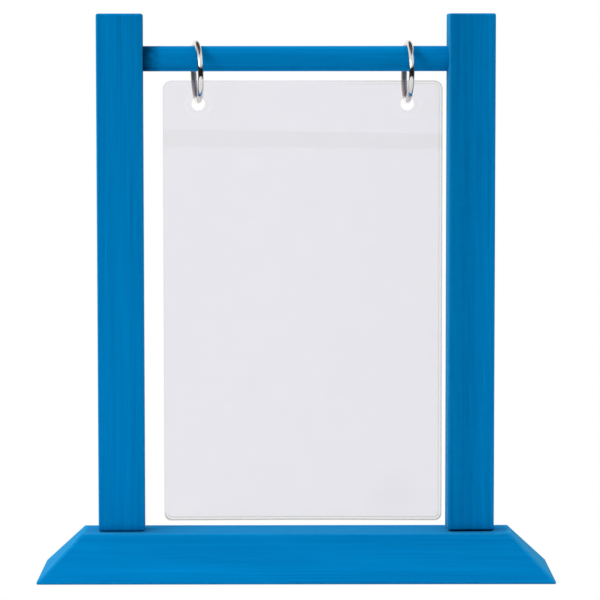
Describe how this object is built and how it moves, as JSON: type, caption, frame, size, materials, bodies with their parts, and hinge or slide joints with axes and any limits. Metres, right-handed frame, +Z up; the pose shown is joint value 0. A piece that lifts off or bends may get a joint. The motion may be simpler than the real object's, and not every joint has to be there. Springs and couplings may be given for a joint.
{
  "type": "table display stand with hanging page sleeve",
  "caption": "Painted wooden frame on a bevelled base, with a round bar from which a clear page sleeve hangs and swings on hinged rings.",
  "frame": {"origin": "centre of the underside of the base board", "axes": "+Z up, +X along the crossbar to the right as the viewer sees it, +Y away from the viewer, who faces the sleeve's open side"},
  "size_m": [0.2444, 0.0646, 0.2677],
  "materials": {
    "painted_wood": "satin blue paint over close-grained wood",
    "zinc_steel": "bright zinc plate",
    "nickel_plate": "polished nickel plate",
    "clear_vinyl": "clear flexible vinyl, slightly milky"
  },
  "bodies": {
    "frame": {"base_board": "painted_wood", "left_post": "painted_wood", "right_post": "painted_wood", "crossbar": "painted_wood", "left_outer_screw": "zinc_steel", "left_inner_screw": "zinc_steel", "right_outer_screw": "zinc_steel", "right_inner_screw": "zinc_steel"},
    "left_ring": {"left_ring_hanger": "nickel_plate", "left_ring_rivet": "nickel_plate"},
    "left_gate": {"left_ring_gate": "nickel_plate"},
    "right_ring": {"right_ring_hanger": "nickel_plate", "right_ring_rivet": "nickel_plate"},
    "right_gate": {"right_ring_gate": "nickel_plate"},
    "sleeve": {"sleeve_back_sheet": "clear_vinyl", "sleeve_front_sheet": "clear_vinyl", "sleeve_header_strip": "clear_vinyl"}
  },
  "joints": [
    {"name": "left_ring_swing", "type": "hinge", "parent": "frame", "child": "left_ring", "pos_m": [0, 0, 0.2464], "axis": [1, 0, 0], "range_deg": [-120, 120]},
    {"name": "right_ring_swing", "type": "hinge", "parent": "frame", "child": "right_ring", "pos_m": [0, 0, 0.2464], "axis": [1, 0, 0], "range_deg": [-120, 120]},
    {"name": "sleeve_swing", "type": "hinge", "parent": "left_ring", "child": "sleeve", "pos_m": [-0.0463, 0, 0.22825], "axis": [1, 0, 0], "range_deg": [-40, 40]},
    {"name": "left_gate_opening", "type": "hinge", "parent": "left_ring", "child": "left_gate", "pos_m": [-0.04855, 0.0087, 0.25069], "axis": [-0.9873, -0.1547, -0.0362], "range_deg": [0, 60]},
    {"name": "right_gate_opening", "type": "hinge", "parent": "right_ring", "child": "right_gate", "pos_m": [0.05255, 0.00877, 0.25076], "axis": [-0.9955, -0.0924, 0.0191], "range_deg": [0, 60]}
  ],
  "couplings": [
    {"joint": "right_ring_swing", "follows": "left_ring_swing", "ratio": 1}
  ]
}
